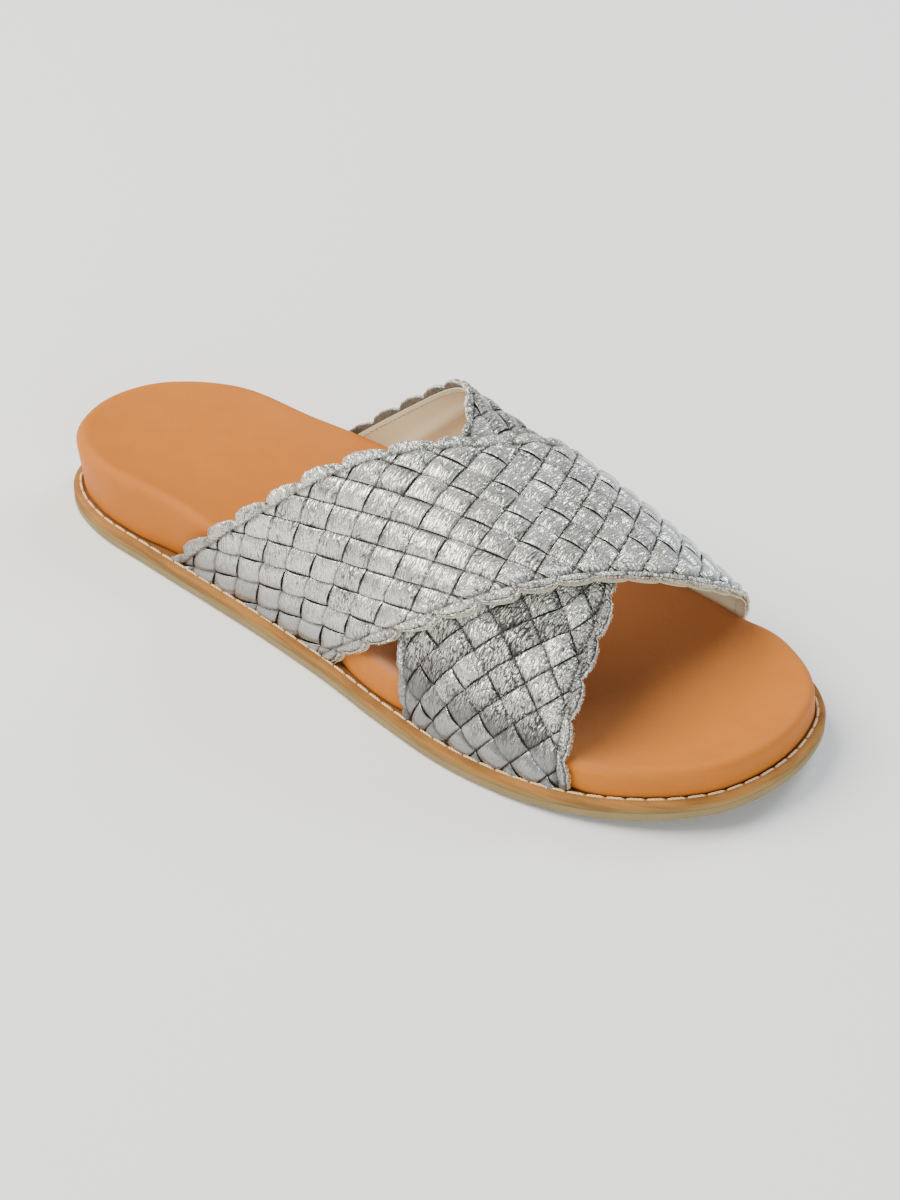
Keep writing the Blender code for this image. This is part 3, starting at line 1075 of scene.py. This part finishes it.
def add_strip(shape, braid, family, number, rng):
    """One strip from border to border, over and under the other family, if it lies on the strap."""
    across, rise, cut = strip_section()
    steps, place, row = strip_grid(family, number, across)
    around, seat = braid.strap.lattice(row, place)
    rear_seam = braid.rear.seam(around)
    front_seam = BRAID_ROWS - braid.front.seam(around)
    to_front = front_seam - seat
    to_seam = np.minimum(seat - rear_seam, to_front)
    inside = np.flatnonzero(((np.abs(around) < 1) & (to_seam > -STRIP_TUCK)).any(axis=1))
    if len(inside) < 2:
        return
    cell = np.floor(steps + CELL_SLACK)
    along = np.clip(steps - cell, 0, 1)
    cell_row = cell - number if family == "place" else number - cell
    over = (cell_row % 2 == braid.strap.over_rows) == (family == "sum")
    raised = np.where(over, np.sin(np.pi * along) ** CELL_FULLNESS, 0)
    lift_look, tone_look, shade_look = cell_looks(rng, cell)
    height = UNDER_HEIGHT + (OVER_HEIGHT - UNDER_HEIGHT) * raised + rise
    height = height + CELL_VARIES * (lift_look - 0.5) * raised
    height = height - SEAM_SINK * smooth_step(*SEAM_SINKS, to_seam)
    height = height + SWELL_HEIGHT * bell(to_front, SWELL_PLACE, SWELL_WIDTH)
    # Painted highlight and shade: each cell's foil brighter towards its lit side, and varying at random from
    # cell to cell
    to_light = across if family == "place" else 2 * along - 1
    shade = SHADE_MIDDLE + SHADE_LEAN * to_light + SHADE_VARIES * (shade_look - 0.5)
    # Painted shade where the strip dives under its neighbours and beside the seam
    dive = np.maximum(1 - smooth_step(*CELL_DIVE_SHADE, raised), SEAM_SHADE * smooth_step(*SEAM_SHADES, to_seam))
    pleat = bell(to_front, PLEAT_PLACE, PLEAT_WIDTH) * smooth_step(*PLEATS_BEGIN, around)
    seat = np.clip(seat, rear_seam - STRIP_TUCK, front_seam + STRIP_TUCK)
    keep = slice(inside[0], inside[-1] + 1)
    points = braid.strap.at(around, seat, height)[keep]
    shape.add(
        points,
        caps=True,
        tone=braid.tone(tone_look)[keep],
        shade=np.clip(shade, 0, 1)[keep],
        strip=STRIP_GRAIN * number + SUM_GRAIN * (family == "sum"),
        up=(around * HALF_GIRTH)[keep],
        over=points[..., 0],
        edge=cut,
        dive=dive[keep],
        crackle=braid.crackle(around)[keep],
        pleat=pleat[keep],
        raw=0.0,
    )


def make_strips(braid, material):
    """All strips of one strap, in the two families that interlace."""
    rng = np.random.default_rng(braid.seed)
    reach = int(2 / braid.strap.pitch / braid.strap.far_pitch) + BRAID_ROWS + SPARE_STRIPS
    shape = Shape()
    for family in ("place", "sum"):
        for number in range(-reach, reach):
            add_strip(shape, braid, family, number, rng)
    shape.make(braid.name + "_strips", material, "upper")


def add_border(shape, braid, border, rng):
    """One rolled border: outside the seam the strips fold back in lobes, and their rim is raw."""
    place, around = border.places()
    number = np.floor(place - border.valley).astype(int)
    looks = rng.random((np.ptp(number) + 1, 3))[number - number[0]]
    out, height, dive, raw = np.array(RAW_ROLL if border.front else PUFFED_ROLL).T
    on_top = smooth_step(*TOP_OF_FOLD, height)
    back = smooth_step(*BACK_OF_FOLD, height)
    lobe = border.lobe(place[:, None] + border.slant * (1 - out))
    seam = border.seam(around)
    ripple = RIPPLE * wave(RIPPLE_WAVES * place + looks[:, 1])
    ripple = ripple + FINE_RIPPLE * wave(FINE_RIPPLE_WAVES * place)
    edge = border.edge(around, place) + ripple + LOBE_VARIES * (looks[:, 0] - 0.5) * border.lobe(place)
    inward = seam[:, None] + (edge - seam)[:, None] * out
    wrinkle = 0
    for look, (size, along, across) in enumerate(WRINKLES, 1):
        turns = along * place[:, None] + across * out + looks[:, look, None]
        wrinkle = wrinkle + size * wave(turns)
    height = height + on_top * (LOBE_SWELL * (lobe - LOBE_LEVEL) + WRINKLE * wrinkle)
    # Painted shade in the valleys between lobes and in the troughs of wrinkles
    dive = dive + LOBE_SHADE * (1 - lobe) ** 2 - WRINKLE_SHADE * on_top * wrinkle.clip(-1, 0)
    wide = np.broadcast_to(around[:, None], inward.shape)
    points = braid.strap.at(wide, border.row(inward), height)
    shape.add(
        points,
        caps=True,
        tone=braid.tone(looks[:, :1]),
        shade=BORDER_SHADE * (1 + looks[:, 2:]),
        strip=BORDER_GRAIN + FRONT_GRAIN * border.front + LOBE_GRAIN * looks[:, 1:2],
        up=wide * HALF_GIRTH,
        over=points[..., 0],
        edge=0.0,
        dive=np.clip(dive, 0, 1),
        crackle=braid.crackle(wide),
        pleat=BORDER_PLEAT * on_top,
        raw=raw,
        back=back,
    )


def make_borders(braid, material):
    rng = np.random.default_rng(braid.seed + 10)
    shape = Shape()
    for border in (braid.rear, braid.front):
        add_border(shape, braid, border, rng)
    shape.make(braid.name + "_borders", material, "upper")


def make_fray(braid, material):
    """Loose fibres along the raw front rim of a strap."""
    rng = np.random.default_rng(braid.seed + 20)
    border = braid.front
    place, around = border.places()
    count = int(FRAY_PER_LOBE * np.ptp(place))
    root = np.sort(rng.uniform(place[0], place[-1], count))
    seat = np.interp(root, place, around)
    edge = border.edge(seat, root)
    feet = braid.strap.at(seat, border.row(edge + FRAY_ROOT), rng.uniform(*FRAY_FROM, count))
    lean = seat + rng.normal(0, FRAY_LEAN, count)
    grown = FRAY_SHORT + (1 - FRAY_SHORT) * smooth_step(*FRAY_GROWS, seat)
    reach = rng.uniform(*FRAY_REACH, count) * grown
    tips = braid.strap.at(lean, border.row(edge - reach), rng.uniform(*FRAY_TO, count))
    shape = Shape()
    for foot, tip in zip(feet, tips):
        path = foot + (tip - foot) * np.linspace(0, 1, FRAY_POINTS)[:, None]
        add_thread(shape, path, FRAY_RADIUS, sides=3)
    shape.make(braid.name + "_fray", material)


def lining_fold(around, row):
    """Depth of the soft folds that run along the lining."""
    folds = 0
    for depth, crest_row, change, width in LINING_FOLDS:
        folds = folds + depth * bell(row, crest_row + change * around, width)
    return folds


def make_lining(braid, material):
    around = np.linspace(-1, 1, LINING_POINTS)
    rear, front = (border.lining_row(around)[:, None] for border in (braid.rear, braid.front))
    rim = np.array([0, LINING_EDGE / 3, LINING_EDGE])
    share = np.concatenate([rim, np.linspace(LINING_FLAT, 1 - LINING_FLAT, LINING_ROWS), 1 - rim[::-1]])
    rows = rear + (front - rear) * share
    wide = np.broadcast_to(around[:, None], rows.shape)
    to_edge = np.minimum(share, 1 - share)
    rounding = LINING_ROUND * np.clip(1 - to_edge / LINING_EDGE, 0, 1)
    folds = lining_fold(wide, rows) * smooth_step(LINING_FLAT, LINING_FOLDS_BEGIN, to_edge)
    outer = braid.strap.at(wide, rows, np.broadcast_to(LINING_OUTER - rounding, rows.shape))
    inner = braid.strap.at(wide, rows, LINING_INNER + rounding - folds)
    raw = smooth_step(LINING_FLAT, LINING_EDGE, to_edge)
    shape = Shape()
    rings = np.concatenate([outer, inner[:, ::-1]], axis=1)
    shape.add(rings, caps=True, raw=np.concatenate([raw, raw[::-1]]))
    shape.make(braid.name + "_lining", material, "upper")


def make_lining_stitches(braid, material):
    """The seam that holds the lining, along both borders of a strap's inner side."""
    around = np.linspace(-LINING_SEAM_END, LINING_SEAM_END, LINING_SEAM_POINTS)
    shape = Shape()
    for border in (braid.rear, braid.front):
        row = border.row(border.table.at("lining", around) + LINING_SEAM_INSET)
        line = braid.strap.at(around, row, np.full(len(around), LINING_INNER - LINING_STITCH_RISE))
        outward = braid.strap.at(around, row, np.zeros(len(around))) - line
        length = lengths(line)
        for start in np.arange(0, length[-1] - LINING_STITCH, LINING_STITCH):
            end = start + LINING_STITCH - LINING_STITCH_GAP
            reached = np.linspace(start + LINING_STITCH_GAP, end, LINING_STITCH_POINTS)
            up = outward[np.searchsorted(length, start)]
            path = points_at(line, reached)
            add_thread(shape, path, LINING_STITCH_RADIUS, LINING_STITCH_FLATNESS, up, sides=5)
    shape.make(braid.name + "_lining_stitches", material)


def top_braid(last):
    strap = Strap(last, TOP_EDGES, lift=1.5, start=-0.5288, lean=0.0325, pitch=0.1219, over_rows=0)
    rear = Border(strap, TOP_REAR, front=False, valley=0.5, peak_share=0.4, slant=0.35)
    front = Border(strap, TOP_FRONT, front=True, valley=0.0, peak_share=0.55, lining_shows=True)
    return Braid("top_strap", strap, rear, front, far_smooth=0.7, dull=0.6, bright=1.0, seed=11)


def under_braid(last):
    strap = Strap(
        last,
        UNDER_EDGES,
        lift=-0.9,
        start=-1.2352,
        lean=0.1173,
        pitch=0.159,
        over_rows=1,
        far_pitch=0.7,
        swing=(-0.0079, -0.0031, 0.0417),
        crowd=(0.5651, 1.9111, -0.0205),
    )
    rear = Border(strap, UNDER_REAR, front=False, valley=0.2, peak_share=0.4)
    front = Border(strap, UNDER_FRONT, front=True, valley=0.0, peak_share=0.62, slant=-0.3)
    # The under strap's darker range of tones is partly painted shade; within it each cell's tone varies at
    # random
    return Braid("under_strap", strap, rear, front, far_smooth=0.3, dull=0.1, bright=0.7, seed=12)


def make_straps():
    last = Last()
    pewter = pewter_leather()
    cream = lining_leather()
    thread = waxed_thread("lining_thread", LINING_THREAD)
    for braid in (top_braid(last), under_braid(last)):
        make_strips(braid, pewter)
        make_borders(braid, pewter)
        make_fray(braid, cream)
        make_lining(braid, cream)
        make_lining_stitches(braid, thread)


# Stage


def make_camera():
    azimuth, elevation = np.radians((CAMERA_AZIMUTH, CAMERA_ELEVATION))
    level = np.cos(elevation)
    towards = Vector((np.sin(azimuth) * level, -np.cos(azimuth) * level, np.sin(elevation)))
    data = bpy.data.cameras.new("photo_camera")
    data.lens = CAMERA_LENS
    data.shift_x, data.shift_y = CAMERA_SHIFT
    camera = bpy.data.objects.new("photo_camera", data)
    camera.location = towards * CAMERA_DISTANCE * METRES
    camera.rotation_euler = towards.to_track_quat("Z", "Y").to_euler()
    bpy.context.scene.collection.objects.link(camera)
    bpy.context.scene.camera = camera


def make_lamp(name, place, aim, size, power, color):
    data = bpy.data.lights.new(name, "AREA")
    data.shape = "DISK"
    data.size = size
    data.energy = power
    data.color = color
    lamp = bpy.data.objects.new(name, data)
    lamp.location = place
    lamp.rotation_euler = (Vector(place) - Vector(aim)).to_track_quat("Z", "Y").to_euler()
    bpy.context.scene.collection.objects.link(lamp)


def make_floor():
    corners = ((-1, -1), (1, -1), (1, 1), (-1, 1))
    mesh = bpy.data.meshes.new("floor")
    points = [(x * FLOOR_REACH, y * FLOOR_REACH, -FLOOR_DROP) for x, y in corners]
    mesh.from_pydata(points, [], [(0, 1, 2, 3)])
    mesh.materials.append(pale_floor())
    floor = bpy.data.objects.new("floor", mesh)
    bpy.context.scene.collection.objects.link(floor)


def make_stage():
    world = bpy.data.worlds.new("studio")
    world.use_nodes = True
    sky = world.node_tree.nodes["Background"]
    sky.inputs["Color"].default_value = SKY_COLOR
    sky.inputs["Strength"].default_value = SKY_STRENGTH
    bpy.context.scene.world = world
    make_floor()
    for name, lamp in LAMPS.items():
        make_lamp(name, *lamp)


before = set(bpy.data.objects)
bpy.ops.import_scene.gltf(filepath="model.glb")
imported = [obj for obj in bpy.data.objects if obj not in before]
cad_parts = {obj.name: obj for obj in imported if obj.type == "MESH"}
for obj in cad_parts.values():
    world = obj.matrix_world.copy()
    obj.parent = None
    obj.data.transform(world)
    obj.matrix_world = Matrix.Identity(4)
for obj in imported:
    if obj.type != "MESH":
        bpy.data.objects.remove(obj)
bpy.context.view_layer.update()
make_camera()
make_stage()
make_outsole()
make_welt()
make_footbed()
make_welt_stitches()
make_straps()
